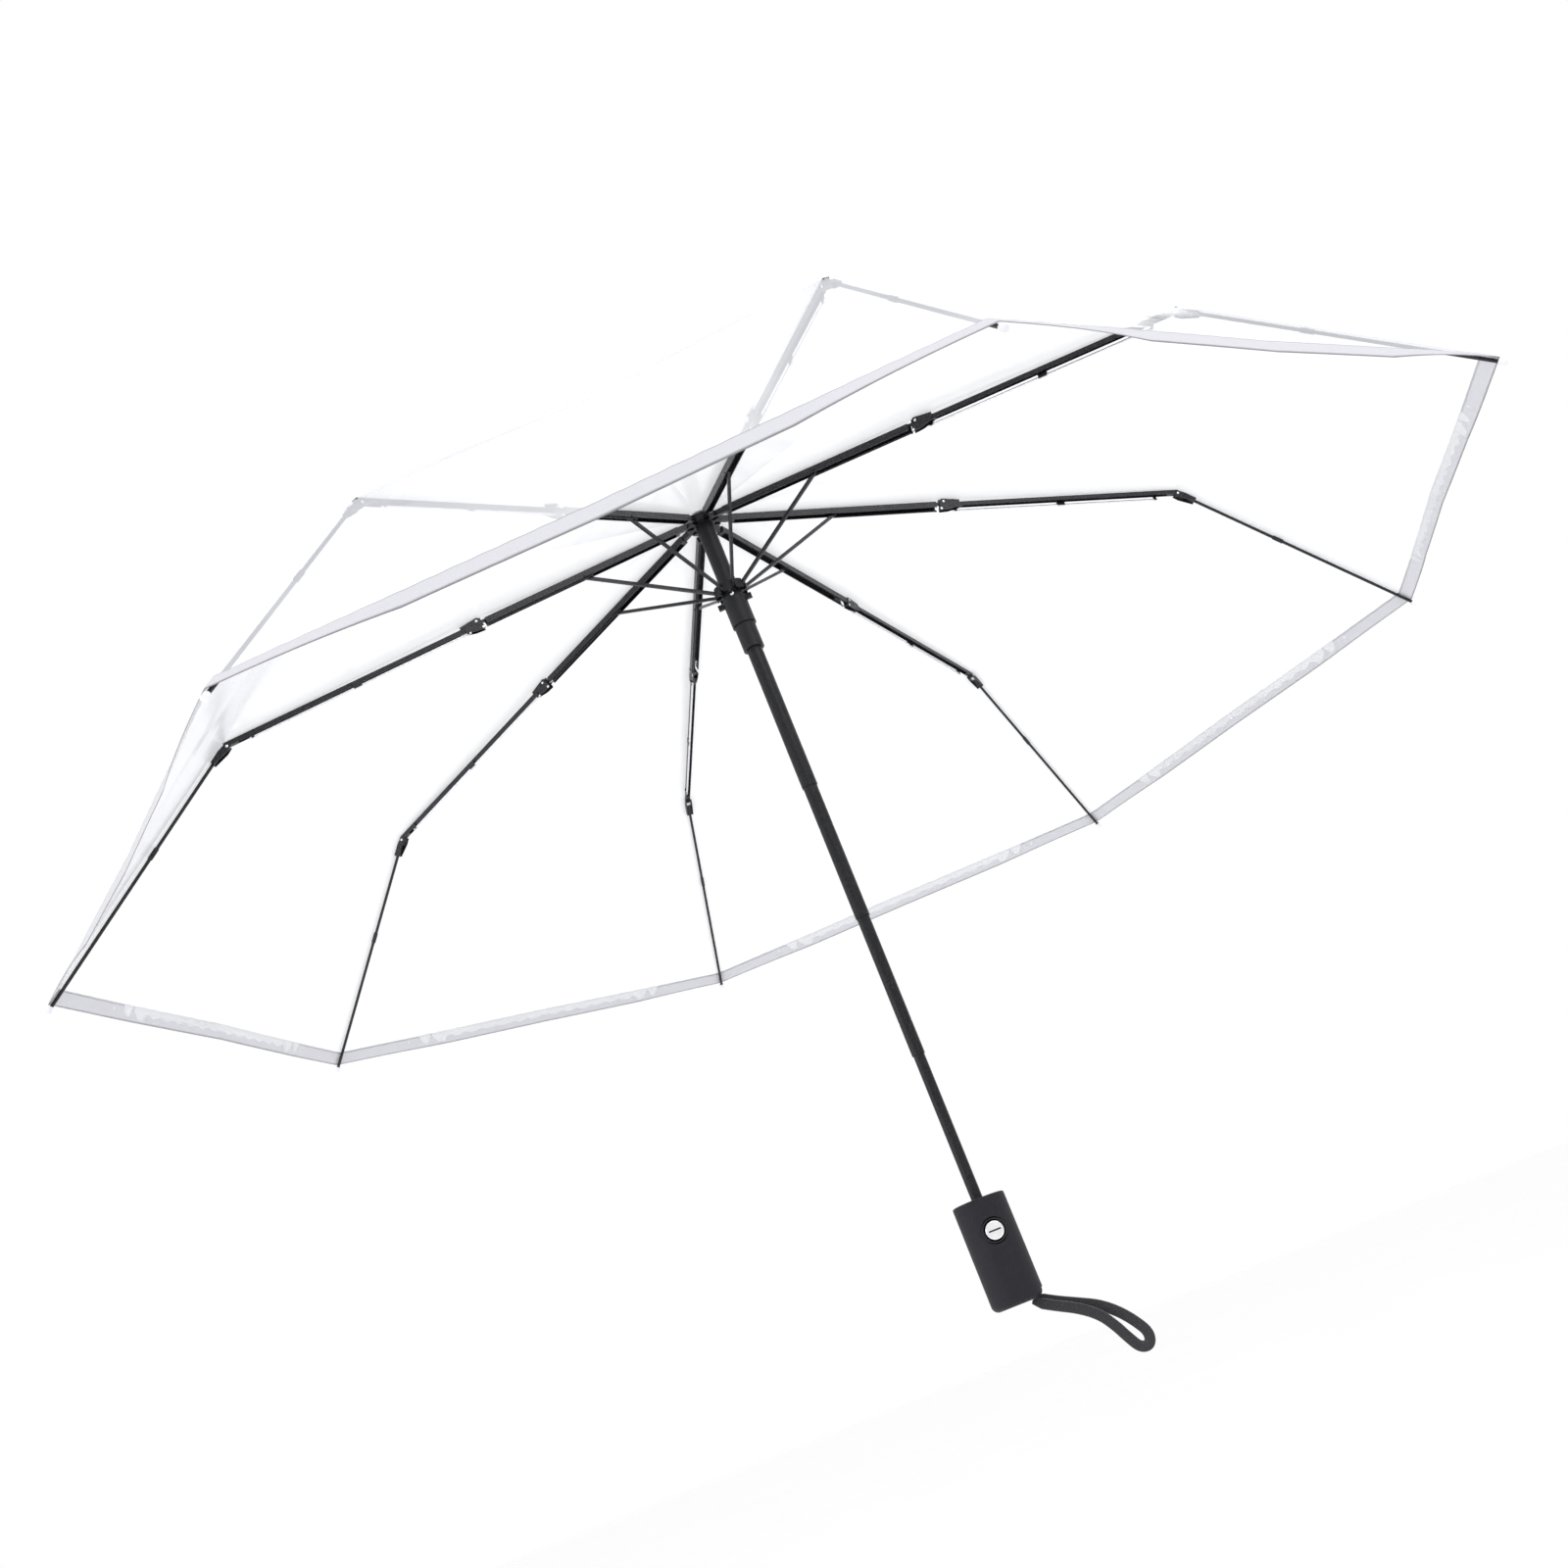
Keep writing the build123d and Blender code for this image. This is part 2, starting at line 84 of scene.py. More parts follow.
STRAP_WIDTH, STRAP_THICKNESS = 0.0066, 0.0021
STRAP_TUCK, STRAP_TUCKED = 0.006, 0.35  # the band narrows to this share where it enters the base
STRAP_SQUARENESS = 0.6  # below 1, the band's section is squarer than an ellipse
STRAP_SIDES = 12
MERGE = 1e-6
STRAP_ROUTE = (  # in millimetres
    (8.5, 4.3, 1.2),
    (19.0, 4.6, -5.0),
    (33.5, 5.2, -11.8),
    (44.5, 4.6, -17.2),
    (54.0, 3.6, -25.2),
    (61.0, 3.0, -34.2),
    (65.0, 2.4, -41.6),
    (63.0, 1.8, -48.0),
    (57.0, 1.4, -47.6),
    (52.6, 1.0, -40.0),
    (48.0, 0.2, -30.5),
    (42.0, -0.4, -21.8),
    (32.0, -0.6, -14.2),
    (18.5, -0.6, -7.4),
    (7.5, -0.6, -1.2),
)
MM = 0.001

CAMERA_AT = (0.102, -1.100, 0.0)
CAMERA_FORWARD, CAMERA_UP = Vector((-0.101, 0.945, 0.312)), Vector((0.400, -0.248, 0.882))
CAMERA_LENS, CAMERA_SENSOR = 39.94, 36.0  # in millimetres
FLOOR_SIZE, FLOOR_Z = 30, -0.42
LAMPS_AIM = Vector((0, 0, 0.35))
LAMPS = (
    # name, place, power in watts, size
    ("key", (1.4, -1.6, 1.8), 26, 1.4),
    ("fill", (-1.8, -1.0, 0.6), 12, 1.6),
    ("back", (0.2, 1.9, 1.6), 14, 1.4),
)


# Places in the plane of one rib
def along(start, angle, distance, lift=0.0):
    """The place at a distance from another in a rib's direction, lifted square to it."""
    a = radians(angle)
    return (
        start[0] + distance * cos(a) - lift * sin(a),
        start[1] + distance * sin(a) + lift * cos(a),
    )


INNER_END = along(CROWN_PIN, INNER_ANGLE, INNER_LENGTH)
FOLD_1 = along(CROWN_PIN, INNER_ANGLE, INNER_LENGTH, INNER_FOLD_LIFT)
MIDDLE_END = along(INNER_END, MIDDLE_ANGLE, MIDDLE_LENGTH)
FOLD_2 = along(INNER_END, MIDDLE_ANGLE, MIDDLE_LENGTH, MIDDLE_FOLD_DROP)
OUTER_START = along(FOLD_2, OUTER_ANGLE, 0.0, OUTER_AXIS_LIFT)


def film_bend():
    """Where the film's planes over the middle and the outer rib meet."""
    first = along(MIDDLE_END, MIDDLE_ANGLE, 0, FILM_OVER_MIDDLE)
    second = along(OUTER_START, OUTER_ANGLE, 0, FILM_OVER_OUTER)
    slope_1, slope_2 = tan(radians(MIDDLE_ANGLE)), tan(radians(OUTER_ANGLE))
    rise = second[1] - first[1] + slope_1 * first[0] - slope_2 * second[0]
    radius = rise / (slope_1 - slope_2)
    return (radius, first[1] + slope_1 * (radius - first[0]))


FILM_PROFILE = (
    FILM_TOP,
    along(FOLD_1, MIDDLE_ANGLE, 0, FILM_OVER_FOLD),
    film_bend(),
    along(OUTER_START, OUTER_ANGLE, OUTER_LENGTH, FILM_OVER_OUTER),
)


def azimuth_of(number):
    return radians(FIRST_RIB_AZIMUTH + 360 / RIB_COUNT * (number - 1))


def at_rib(number, place, side=0.0):
    """A point of the shared frame from a place in a rib's plane and a distance to its side."""
    a = azimuth_of(number)
    x = place[0] * cos(a) - side * sin(a)
    y = place[0] * sin(a) + side * cos(a)
    return Vector((x, y, place[1]))


# Helpers for meshes
def deselect():
    bpy.ops.object.select_all(action="DESELECT")


def select_only(piece):
    deselect()
    piece.select_set(True)
    bpy.context.view_layer.objects.active = piece


def newest(name):
    piece = bpy.context.object
    piece.name = piece.data.name = name
    return piece


def settle(piece):
    """Leaves the piece's object at the origin, with its place in its mesh."""
    select_only(piece)
    bpy.ops.object.transform_apply(location=True, rotation=True, scale=True)
    return piece


def apply_modifiers(piece):
    bpy.context.view_layer.objects.active = piece
    for modifier in list(piece.modifiers):
        bpy.ops.object.modifier_apply(modifier=modifier.name)
    return piece


def grid_sheet(name, columns, rows, place):
    """A grid of columns by rows quads, shaped by place(u, v) with u and v from 0 to 1."""
    deselect()
    bpy.ops.mesh.primitive_grid_add(x_subdivisions=columns, y_subdivisions=rows, size=1)
    sheet = newest(name)
    uv = sheet.data.uv_layers.active.data
    for loop in sheet.data.loops:
        at = sheet.data.vertices[loop.vertex_index].co
        uv[loop.index].uv = (at.x + 0.5, at.y + 0.5)
    for vertex in sheet.data.vertices:
        vertex.co = place(vertex.co.x + 0.5, vertex.co.y + 0.5)
    sheet.data.update()
    return sheet


def smooth(piece, angle=40):
    select_only(piece)
    bpy.ops.object.shade_smooth_by_angle(angle=radians(angle))
    return piece


def finish_piece(piece, material, body, nodes=()):
    piece.data.materials.clear()
    piece.data.materials.append(material)
    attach(piece, body)
    if nodes:
        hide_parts(*nodes)
    return piece


# Materials. Each group gives a pattern; the shader and its plain values stay in the material.
def group(name, inputs, outputs):
    tree = bpy.data.node_groups.new(name, "ShaderNodeTree")
    for label, value in inputs.items():
        kind = "NodeSocketVector" if value is None else "NodeSocketFloat"
        socket = tree.interface.new_socket(label, in_out="INPUT", socket_type=kind)
        if value is not None:
            socket.default_value = value
    for label, kind in outputs.items():
        tree.interface.new_socket(label, in_out="OUTPUT", socket_type=kind)
    return tree, tree.nodes.new("NodeGroupInput"), tree.nodes.new("NodeGroupOutput")


def math_node(tree, operation, *operands):
    """A maths node; an operand is a socket or a plain number."""
    made = tree.nodes.new("ShaderNodeMath")
    made.operation = operation
    for target, operand in zip(made.inputs, operands):
        if isinstance(operand, float):
            target.default_value = operand
        else:
            tree.links.new(operand, target)
    return made.outputs[0]


def grain_group():
    """Fine moulded or lacquered grain: a value round 0.5, and a height."""
    tree, start, end = group(
        "fine grain",
        {"Vector": None, "Scale": 400.0, "Depth": 0.2},
        {"Value": "NodeSocketFloat", "Normal": "NodeSocketVector"},
    )
    noise = tree.nodes.new("ShaderNodeTexNoise")
    noise.inputs["Detail"].default_value = 4.0
    bump = tree.nodes.new("ShaderNodeBump")
    bump.inputs["Distance"].default_value = 0.0002
    tree.links.new(start.outputs["Vector"], noise.inputs["Vector"])
    tree.links.new(start.outputs["Scale"], noise.inputs["Scale"])
    tree.links.new(noise.outputs["Fac"], bump.inputs["Height"])
    tree.links.new(start.outputs["Depth"], bump.inputs["Strength"])
    tree.links.new(noise.outputs["Fac"], end.inputs["Value"])
    tree.links.new(bump.outputs["Normal"], end.inputs["Normal"])
    return tree


def weave_group():
    """A plain weave on a strip's UV map: crossing ribs of thread."""
    tree, start, end = group(
        "plain weave",
        {"Vector": None, "Across": 12.0, "Along": 90.0, "Depth": 0.4},
        {"Value": "NodeSocketFloat", "Normal": "NodeSocketVector"},
    )
    split = tree.nodes.new("ShaderNodeSeparateXYZ")
    tree.links.new(start.outputs["Vector"], split.inputs[0])
    waves = []
    for axis, count in (("X", "Along"), ("Y", "Across")):
        turns = math_node(tree, "MULTIPLY", split.outputs[axis], start.outputs[count])
        waves.append(math_node(tree, "SINE", math_node(tree, "MULTIPLY", turns, 2 * pi)))
    half = math_node(tree, "MULTIPLY", waves[0], 0.5)
    height = math_node(tree, "MULTIPLY_ADD", half, waves[1], 0.5)
    bump = tree.nodes.new("ShaderNodeBump")
    bump.inputs["Distance"].default_value = 0.0003
    tree.links.new(height, bump.inputs["Height"])
    tree.links.new(start.outputs["Depth"], bump.inputs["Strength"])
    tree.links.new(height, end.inputs["Value"])
    tree.links.new(bump.outputs["Normal"], end.inputs["Normal"])
    return tree


GRAIN = grain_group()
WEAVE = weave_group()


class Finish:
    """A material under construction: its Principled shader and shortcuts for its nodes."""

    def __init__(self, name, roughness, metallic=0.0, **plain):
        self.material = bpy.data.materials.new(name)
        self.material.use_nodes = True
        self.tree = self.material.node_tree
        self.shader = self.tree.nodes["Principled BSDF"]
        self.shader.inputs["Roughness"].default_value = roughness
        self.shader.inputs["Metallic"].default_value = metallic
        for label, value in plain.items():
            self.shader.inputs[label.replace("_", " ")].default_value = value

    def node(self, kind, **values):
        made = self.tree.nodes.new(kind)
        for label, value in values.items():
            made.inputs[label.replace("_", " ")].default_value = value
        return made

    def use(self, tree, vector, **values):
        made = self.tree.nodes.new("ShaderNodeGroup")
        made.node_tree = tree
        for label, value in values.items():
            made.inputs[label].default_value = value
        self.link(self.coordinates(vector), made.inputs["Vector"])
        return made

    def coordinates(self, kind):
        return self.node("ShaderNodeTexCoord").outputs[kind]

    def link(self, source, target):
        if isinstance(target, str):
            target = self.shader.inputs[target]
        self.tree.links.new(source, target)

    def ramp(self, factor, *stops):
        """Colours at positions, as (position, grey or colour)."""
        made = self.tree.nodes.new("ShaderNodeValToRGB")
        while len(made.color_ramp.elements) < len(stops):
            made.color_ramp.elements.new(0.5)
        for element, (position, colour) in zip(made.color_ramp.elements, stops):
            element.position = position
            grey = isinstance(colour, float)
            element.color = (colour, colour, colour, 1) if grey else (*colour, 1)
        self.link(factor, made.inputs["Fac"])
        return made.outputs["Color"]


def grained(name, dark, light, roughness, spread, scale, depth, metallic=0.0, **plain):
    """A finish whose colour and roughness vary with fine grain."""
    finish = Finish(name, roughness, metallic, **plain)
    grain = finish.use(GRAIN, "Object", Scale=scale, Depth=depth)
    finish.link(finish.ramp(grain.outputs["Value"], (0.35, dark), (0.65, light)), "Base Color")
    low, high = roughness - spread, roughness + spread
    finish.link(finish.ramp(grain.outputs["Value"], (0.3, low), (0.7, high)), "Roughness")
    finish.link(grain.outputs["Normal"], "Normal")
    return finish.material


FILM_HAZE, HAZE_SPREAD = 0.55, 0.05
# The second film colour is a painted sheen: the bluish grey that stands in for the film's
# reflection at grazing angles.
FILM_TINT, FILM_PAINTED_SHEEN_TINT = (0.93, 0.94, 0.96), (0.55, 0.58, 0.70)
THREAD_DARK, THREAD_LIGHT = (0.50, 0.50, 0.54), (0.62, 0.62, 0.66)
WEB_DARK, WEB_LIGHT = (0.003, 0.003, 0.005), (0.020, 0.019, 0.024)
EDGE_LINE, FOLD_LINE = 0.55, 0.60  # how dark the lines along the tape are, against 1.0


def clear_film():
    """Clear film with a milky haze: denser along the welds on the ribs and in faint streaks."""
    finish = Finish("clear milky film", 0.12, Specular_IOR_Level=0.5, IOR=1.45)
    split = finish.node("ShaderNodeSeparateXYZ")
    finish.link(finish.coordinates("UV"), split.inputs[0])
    streaks = finish.node("ShaderNodeTexNoise", Scale=9.0, Detail=3.0, Distortion=0.6)
    finish.link(finish.coordinates("Object"), streaks.inputs["Vector"])
    low, high = FILM_HAZE - HAZE_SPREAD, FILM_HAZE + HAZE_SPREAD
    haze = finish.ramp(streaks.outputs["Fac"], (0.35, low), (0.7, high))
    weld = finish.ramp(split.outputs["X"], (0.012, 0.55), (0.03, 0.0))
    # Painted sheen: towards grazing angles the film turns more opaque and bluish grey, standing
    # in for its reflection there.
    facing = finish.node("ShaderNodeLayerWeight", Blend=0.32)
    edge = finish.ramp(facing.outputs["Facing"], (0.35, 0.0), (0.95, 0.6))
    densest = math_node(finish.tree, "MAXIMUM", haze, weld)
    finish.link(math_node(finish.tree, "MAXIMUM", densest, edge), "Alpha")
    film_colour_and_painted_sheen = finish.ramp(facing.outputs["Facing"], (0.4, FILM_TINT), (0.97, FILM_PAINTED_SHEEN_TINT))
    finish.link(film_colour_and_painted_sheen, "Base Color")
    ripple = finish.node("ShaderNodeTexNoise", Scale=28.0, Detail=2.0)
    finish.link(finish.coordinates("Object"), ripple.inputs["Vector"])
    bump = finish.node("ShaderNodeBump", Strength=0.25, Distance=0.002)
    finish.link(ripple.outputs["Fac"], bump.inputs["Height"])
    finish.link(bump.outputs["Normal"], "Normal")
    return finish.material


def pale_tape():
    """Thin grey-white tape, darker along its edges and along the fold over the rim."""
    finish = Finish("pale rim tape", 0.75, Sheen_Weight=0.25)
    weave = finish.use(WEAVE, "UV", Across=14.0, Along=260.0, Depth=0.5)
    thread = finish.ramp(weave.outputs["Value"], (0.2, THREAD_DARK), (0.8, THREAD_LIGHT))
    split = finish.node("ShaderNodeSeparateXYZ")
    finish.link(finish.coordinates("UV"), split.inputs[0])
    lines = finish.ramp(
        split.outputs["Y"], (0.0, EDGE_LINE), (0.05, 1.0), (0.42, 1.0), (0.47, FOLD_LINE),
        (0.53, FOLD_LINE), (0.58, 1.0), (0.95, 1.0), (1.0, EDGE_LINE),
    )
    mixed = finish.node("ShaderNodeMix")
    mixed.data_type = "RGBA"
    mixed.blend_type = "MULTIPLY"
    mixed.inputs["Factor"].default_value = 1.0
    # a mix node has sockets for each kind of data; these three are the colours
    finish.link(thread, mixed.inputs[6])
    finish.link(lines, mixed.inputs[7])
    finish.link(mixed.outputs[2], "Base Color")
    finish.link(weave.outputs["Normal"], "Normal")
    return finish.material


def black_webbing():
    finish = Finish("black woven strap", 0.85, Sheen_Weight=0.4)
    weave = finish.use(WEAVE, "UV", Across=9.0, Along=150.0, Depth=0.9)
    thread = finish.ramp(weave.outputs["Value"], (0.15, WEB_DARK), (0.85, WEB_LIGHT))
    finish.link(thread, "Base Color")
    finish.link(weave.outputs["Normal"], "Normal")
    return finish.material


FILM = clear_film()
TAPE = pale_tape()
WEBBING = black_webbing()
LACQUER = grained(
    "black lacquered steel", (0.003, 0.003, 0.005), (0.009, 0.009, 0.012),
    0.30, 0.08, 900, 0.10, Specular_IOR_Level=0.35,
)
TUBE_METAL = grained(
    "dark grey tube", (0.012, 0.012, 0.014), (0.022, 0.022, 0.025),
    0.36, 0.07, 700, 0.06, 0.55, Specular_IOR_Level=0.3,
)
PLASTIC = grained(
    "black moulding", (0.003, 0.003, 0.005), (0.008, 0.008, 0.011),
    0.46, 0.08, 1100, 0.25, Specular_IOR_Level=0.3,
)
SOFT_TOUCH = grained(
    "soft-touch black", (0.006, 0.006, 0.010), (0.013, 0.012, 0.018),
    0.60, 0.06, 1600, 0.35, Specular_IOR_Level=0.25,
)
PALE_TIP = grained(
    "pale tip plastic", (0.66, 0.66, 0.70), (0.78, 0.78, 0.82), 0.40, 0.08, 500, 0.10
)
BRIGHT_WIRE = grained(
    "bright wire", (0.62, 0.62, 0.66), (0.78, 0.78, 0.82), 0.22, 0.06, 600, 0.05, 1.0
)
CHROME = grained(
    "chrome plate", (0.80, 0.80, 0.83), (0.88, 0.88, 0.90), 0.10, 0.04, 300, 0.02, 1.0
)
NODE_FINISH = {
    "inner_rib": LACQUER, "middle_rib": LACQUER, "outer_rib": LACQUER, "stretcher": LACQUER,
    "link_rod": LACQUER, "shaft_tube": TUBE_METAL, "crown_wire_ring": BRIGHT_WIRE,
    "crown": PLASTIC, "top_cap": PLASTIC, "runner": PLASTIC, "main_spring": BRIGHT_WIRE,
    "handle_grip": SOFT_TOUCH, "handle_end_cap": SOFT_TOUCH, "handle_core": PLASTIC,
    "push_button": CHROME, "latch_slider": PLASTIC, "button_spring": BRIGHT_WIRE,
}


def cad_finishes():
    """Gives each node of the CAD its finish, and each outer rib its pale tip."""
    for node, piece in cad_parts.items():
        for start, finish in NODE_FINISH.items():
            if node.startswith(start):
                piece.data.materials.clear()
                piece.data.materials.append(finish)
                break
        if node.startswith("outer_rib"):
            piece.data.materials.append(PALE_TIP)
            fold = at_rib(int(node[-1]), FOLD_2)
            for polygon in piece.data.polygons:
                if (polygon.center - fold).length > TIP_START:
                    polygon.material_index = 1


def camera():
    data = bpy.data.cameras.new("camera")
    data.lens, data.sensor_width = CAMERA_LENS, CAMERA_SENSOR
    eye = bpy.data.objects.new("camera", data)
    bpy.context.collection.objects.link(eye)
    forward = CAMERA_FORWARD.normalized()
    right = forward.cross(CAMERA_UP).normalized()
    turn = Matrix((right, right.cross(forward), -forward)).transposed()
    eye.matrix_world = Matrix.Translation(CAMERA_AT) @ turn.to_4x4()
    bpy.context.scene.camera = eye


# Wrist strap
def route_points(route):
    """Points along the smooth line that the route's points control."""
    curve = bpy.data.curves.new("strap line", "CURVE")
    curve.dimensions = "3D"
    curve.resolution_u = 14
    spline = curve.splines.new("NURBS")
    spline.points.add(len(route) - 1)
    for point, at in zip(spline.points, route):
        point.co = (at[0] * MM, at[1] * MM, at[2] * MM, 1)
    spline.order_u = 3
    spline.use_endpoint_u = True
    line = bpy.data.objects.new("strap line", curve)
    bpy.context.collection.objects.link(line)
    mesh = bpy.data.meshes.new_from_object(line)
    points = [v.co.copy() for v in mesh.vertices]
    bpy.data.objects.remove(line)
    return points


def wrist_strap():
    """The flat woven band, out from the handle's base and back into it."""
    points = route_points(STRAP_ROUTE)
    count = len(points) - 1
    lengths = [0.0]
    for a, b in zip(points, points[1:]):
        lengths.append(lengths[-1] + (b - a).length)

    def flattened(x, share):
        return abs(x) ** STRAP_SQUARENESS * (1 if x > 0 else -1) * share

    def place(u, v):
        i = round(u * count)
        ahead = (points[min(i + 1, count)] - points[max(i - 1, 0)]).normalized()
        wide = ahead.cross(Vector((0, 1, 0))).normalized()
        thick = ahead.cross(wide).normalized()
        turn = 2 * pi * v
        from_end = min(lengths[i], lengths[-1] - lengths[i])
        share = min(1.0, STRAP_TUCKED + (1 - STRAP_TUCKED) * from_end / STRAP_TUCK)
        return (
            points[i]
            + wide * flattened(cos(turn), share) * STRAP_WIDTH / 2
            + thick * flattened(sin(turn), share) * STRAP_THICKNESS / 2
        )

    strap = grid_sheet("woven_wrist_strap", count, STRAP_SIDES, place)
    bpy.ops.object.mode_set(mode="EDIT")
    bpy.ops.mesh.select_all(action="SELECT")
    bpy.ops.mesh.remove_doubles(threshold=MERGE)
    bpy.ops.mesh.select_all(action="DESELECT")
    bpy.ops.mesh.select_mode(type="EDGE")
    bpy.ops.mesh.select_non_manifold()
    bpy.ops.mesh.fill_holes(sides=2 * STRAP_SIDES)
    bpy.ops.mesh.select_all(action="SELECT")
    bpy.ops.mesh.normals_make_consistent(inside=False)
    bpy.ops.object.mode_set(mode="OBJECT")
    smooth(strap, 50)
    finish_piece(strap, WEBBING, "handle", ["wrist_strap"])
    tuple(points[0])
    [tuple(p) for p in points]


# Film
STAGES = (
    # name, first place of the profile, the rib's angle, rows, columns
    ("inner", 0, INNER_ANGLE, 14, 10),
    ("middle", 1, MIDDLE_ANGLE, 16, 12),
    ("outer", 2, OUTER_ANGLE, 16, 14),
)
SIDES = ((1, "a"), (-1, "b"))


def profile_lengths():
    """The distance along the profile to each of its places."""
    lengths = [0.0]
    for a, b in zip(FILM_PROFILE, FILM_PROFILE[1:]):
        lengths.append(lengths[-1] + hypot(b[0] - a[0], b[1] - a[1]))
    return lengths


LENGTHS = profile_lengths()


def straight_place(s):
    """The place at a distance along the profile's straight legs, also past its ends."""
    leg = 0
    while leg < len(LENGTHS) - 2 and s > LENGTHS[leg + 1]:
        leg += 1
    t = (s - LENGTHS[leg]) / (LENGTHS[leg + 1] - LENGTHS[leg])
    a, b = FILM_PROFILE[leg], FILM_PROFILE[leg + 1]
    return Vector((a[0] + t * (b[0] - a[0]), a[1] + t * (b[1] - a[1])))


def film_place(s, across):
    """Radius, height and side of the film at a distance along the profile, with across from -1
    to 1 between the middles of the gores. Away from the rib the bends are rounder."""
    away = abs(across)
    reach = BEND_AT_RIB + (BEND_AT_GORE - BEND_AT_RIB) * away**2
    place = straight_place(s)
    for bend in (1, 2):
        near = s - LENGTHS[bend]
        if abs(near) < reach:
            t = (near + reach) / (2 * reach)
            first = straight_place(LENGTHS[bend] - reach)
            last = straight_place(LENGTHS[bend] + reach)
            corner = straight_place(LENGTHS[bend])
            place = first * (1 - t) ** 2 + corner * 2 * t * (1 - t) + last * t**2
    hem = s - (LENGTHS[-1] - TAPE_WIDTH)
    if hem > 0:
        edge = straight_place(LENGTHS[-1] - TAPE_WIDTH)
        hang = TAPE_HANG * min(1.0, away / TAPE_HANG_FROM) ** TAPE_HANG_POWER
        slope = radians(OUTER_ANGLE) - hang
        place = edge + Vector((cos(slope), sin(slope))) * hem
    radius, height = place
    share = s / LENGTHS[-1]
    rise = FILM_RISE * sin(pi * min(1.0, share)) * away**2
    slack = RIM_SLACK * away**2 * max(0.0, (share - SLACK_FROM) / (1 - SLACK_FROM))
    return (
        radius * (1 - (1 - cos(HALF_GORE) ** 2) * away) - slack * SLACK_INWARD,
        height + rise,
        across * radius * sin(HALF_GORE) * cos(HALF_GORE),
    )


def film_point(number, s, across):
    radius, height, side = film_place(s, across)
    return at_rib(number, (radius, height), side)


def half_gore_width(s):
    return film_place(s, 0)[0] * sin(HALF_GORE)


def sheet_area(piece):
    return sum(polygon.area for polygon in piece.data.polygons)


def face_out(sheet, side):
    """Turns a sheet's upper side outward and smooths it."""
    if side > 0:
        sheet.data.flip_normals()
    for polygon in sheet.data.polygons:
        polygon.use_smooth = True


def fold_axis(number, angle, side):
    """The direction in which the film on one side of a rib gathers onto the rib."""
    a = azimuth_of(number)
    outward = Vector((cos(a), sin(a), 0))
    across = Vector((-sin(a), cos(a), 0)) * side
    chord = across * cos(HALF_GORE) - outward * sin(HALF_GORE)
    rib = outward * cos(radians(angle)) + Vector((0, 0, sin(radians(angle))))
    return tuple((chord - rib * chord.dot(rib)).normalized())


def hold_on_rib(piece, number, side, stage, material, nodes):
    """Lets a piece of film or tape ride its rib."""
    name, first, angle = stage
    finish_piece(piece, material, f"{name}_rib_{number}", nodes)
    fold_axis(number, angle, side)
    tuple(at_rib(number, FILM_PROFILE[first]))
    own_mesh(piece)


def canopy_petals():
    """The film, as a strip on each side of each stage of each rib, half way to the next rib."""
    for number in range(1, RIB_COUNT + 1):
        for name, first, angle, rows, columns in STAGES:
            start, end = LENGTHS[first], LENGTHS[first + 1]
            for side, tag in SIDES:

                def place(u, v):
                    return film_point(number, start + (end - start) * v, side * u)

                petal = grid_sheet(f"film_{name}_{number}_{tag}", columns, rows, place)
                face_out(petal, side)
                area, width = sheet_area(petal), half_gore_width(end)
                nodes = ["canopy"] if (number, name, side) == (1, "inner", 1) else []
                stage = (name, first, angle)
                hold_on_rib(petal, number, side, stage, FILM, nodes)


def rim_tape():
    """The tape folded over the rim, half a gore to each side of every tip."""
    rim = LENGTHS[-1]
    for number in range(1, RIB_COUNT + 1):
        for side, tag in SIDES:

            def place(u, v):
                # v runs from the tape's inner edge on top, over the rim, to its inner edge below
                fold = 2 * v - 1
                back = TAPE_WIDTH * abs(fold)
                face = 1 if fold < 0 else -1
                over = face * min(1.0, abs(fold) * FOLD_SHARPNESS) * TAPE_STANDS_OFF
                pucker = PUCKER * sin(PUCKER_HALF_WAVES * pi * u) * min(1.0, abs(fold) * 2)
                at = film_point(number, rim - back + TAPE_PAST_RIM, side * u)
                return at + Vector((0, 0, over + pucker))

            tape = grid_sheet(f"rim_tape_{number}_{tag}", TAPE_COLUMNS, TAPE_ROWS, place)
            face_out(tape, side)
            area, width = sheet_area(tape), half_gore_width(rim)
            nodes = ["rim_binding"] if (number, side) == (1, 1) else []
            stage = ("outer", 2, OUTER_ANGLE)
            hold_on_rib(tape, number, side, stage, TAPE, nodes)


# Small pieces on the ribs
def round_bar(name, start, end, radius, sides=10):
    """A round bar between two points, with softened ends."""
    deselect()
    span = end - start
    bpy.ops.mesh.primitive_cylinder_add(
        vertices=sides, radius=radius, depth=span.length, location=(start + end) / 2,
        rotation=span.to_track_quat("Z", "Y").to_euler(),
    )
    piece = newest(name)
    bevel = piece.modifiers.new("ends", "BEVEL")
    bevel.width = radius * 0.35
    bevel.segments = 2
    bevel.limit_method = "ANGLE"
    apply_modifiers(piece)
    return smooth(settle(piece))


def joined(name, pieces):
    """One piece made of several."""
    deselect()
    for piece in pieces:
        piece.select_set(True)
    bpy.context.view_layer.objects.active = pieces[0]
    bpy.ops.object.join()
    return newest(name)


def rivet_heads(number, places, half_width):
    """Domed rivet heads on both sides of a pin."""
    heads = []
    for place in places:
        for side in (-1, 1):
            at = at_rib(number, place, side * half_width)
            out = at_rib(number, place, side * (half_width + RIVET_HEIGHT))
            heads.append(round_bar("head", at, out, RIVET_RADIUS, 12))
    return heads


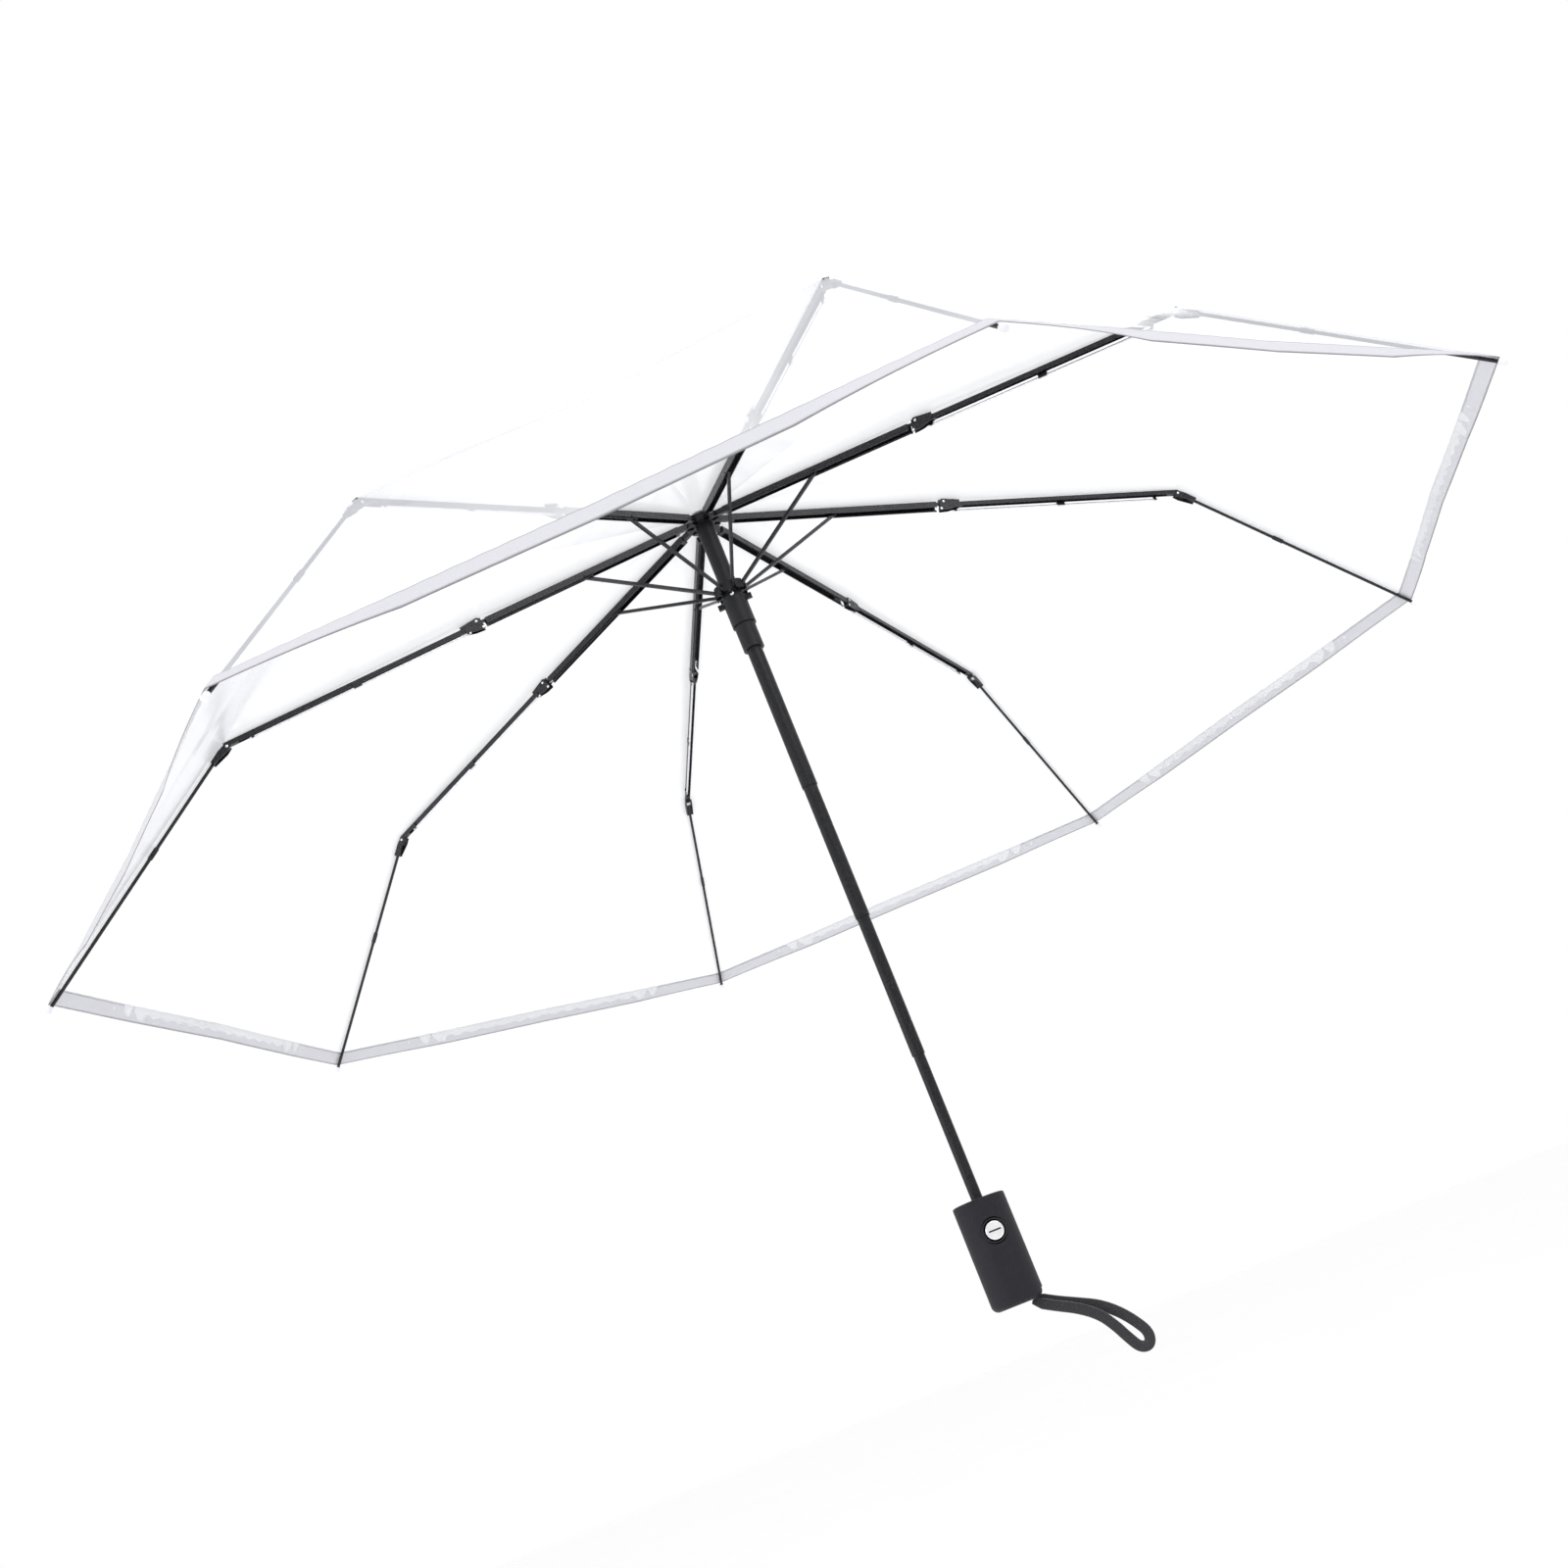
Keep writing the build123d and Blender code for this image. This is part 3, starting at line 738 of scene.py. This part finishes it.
def rib_fittings():
    """Bright drive wires, and rivet heads at the folds."""
    lever = along(FOLD_1, MIDDLE_ANGLE, LEVER_ALONG, LEVER_DROP)
    for number in range(1, RIB_COUNT + 1):
        start, end = (
            at_rib(number, along(INNER_END, MIDDLE_ANGLE, distance, WIRE_DROP), WIRE_SIDE)
            for distance in WIRE_ALONG
        )
        wire = round_bar(f"drive_wire_{number}", start, end, WIRE_RADIUS)
        finish_piece(wire, BRIGHT_WIRE, f"middle_rib_{number}")
        for fold, places, half_width, rib in (
            ("first", [FOLD_1, lever], FIRST_FOLD_HALF_WIDTH, "middle"),
            ("second", [FOLD_2], SECOND_FOLD_HALF_WIDTH, "outer"),
        ):
            heads = rivet_heads(number, places, half_width)
            rivets = joined(f"{fold}_fold_rivets_{number}", heads)
            finish_piece(rivets, BRIGHT_WIRE, f"{rib}_rib_{number}")


# Handle and runner details
def radial_turn():
    """The direction out through the button, and the rotation that turns Z to it."""
    a = radians(BUTTON_AZIMUTH)
    outward = Vector((cos(a), sin(a), 0))
    return outward, outward.to_track_quat("Z", "Y").to_euler()


def button_details():
    """The dark collar round the button, and the dark slot across its face."""
    outward, turn = radial_turn()
    deselect()
    bpy.ops.mesh.primitive_torus_add(
        major_radius=COLLAR_R, minor_radius=COLLAR_RING_R, major_segments=48, minor_segments=10,
        location=outward * COLLAR_AT_R + Vector((0, 0, BUTTON_Z)), rotation=turn,
    )
    collar = smooth(settle(newest("button_collar")), 60)
    finish_piece(collar, PLASTIC, "handle")
    deselect()
    at = outward * (BUTTON_FACE_R + SLOT_STANDS_OFF) + Vector((0, 0, BUTTON_Z))
    bpy.ops.mesh.primitive_cube_add(size=1, location=at, rotation=turn)
    slot = newest("button_slot_line")
    slot.scale = SLOT_SIZE
    settle(slot)
    bevel = slot.modifiers.new("soft edges", "BEVEL")
    bevel.width, bevel.segments = SLOT_BEVEL, 2
    apply_modifiers(slot)
    finish_piece(slot, PLASTIC, "button")


def pressed_spring():
    """The button's spring, given a mesh of its own."""
    outward, _ = radial_turn()
    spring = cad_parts["button_spring"]
    tuple(outward)
    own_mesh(spring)


def runner_rivet():
    """The bright rivet on the runner's front."""
    forward = Vector((sin(RUNNER_RIVET_TURN), -cos(RUNNER_RIVET_TURN), 0))
    start, end = (Vector((0, 0, RUNNER_RIVET_Z)) + forward * r for r in RUNNER_RIVET_R)
    rivet = round_bar("runner_rivet", start, end, RUNNER_RIVET_RADIUS, 16)
    finish_piece(rivet, CHROME, "runner")


def surroundings():
    """A white world, a pale floor that is only for the stage, and three soft lamps."""
    world = bpy.data.worlds.new("white studio")
    bpy.context.scene.world = world
    bpy.context.scene.view_settings.view_transform = "Standard"
    world.use_nodes = True
    background = world.node_tree.nodes["Background"]
    background.inputs["Color"].default_value = (1, 1, 1, 1)
    background.inputs["Strength"].default_value = 1.0
    deselect()
    bpy.ops.mesh.primitive_plane_add(size=FLOOR_SIZE, location=(0, 0, FLOOR_Z))
    floor = newest("studio_floor")
    pale = Finish("pale floor", 0.9)
    tone = pale.node("ShaderNodeTexNoise", Scale=3.0)
    pale.link(pale.coordinates("Object"), tone.inputs["Vector"])
    pale.link(pale.ramp(tone.outputs["Fac"], (0.3, 0.975), (0.7, 0.985)), "Base Color")
    floor.data.materials.append(pale.material)
    for name, at, power, size in LAMPS:
        data = bpy.data.lights.new(name, "AREA")
        data.energy, data.size = power, size
        lamp = bpy.data.objects.new(name, data)
        lamp.location = at
        lamp.rotation_euler = (LAMPS_AIM - Vector(at)).to_track_quat("-Z", "Y").to_euler()
        bpy.context.collection.objects.link(lamp)


cad_finishes()
camera()
wrist_strap()
canopy_petals()
rim_tape()
rib_fittings()
button_details()
pressed_spring()
runner_rivet()
surroundings()
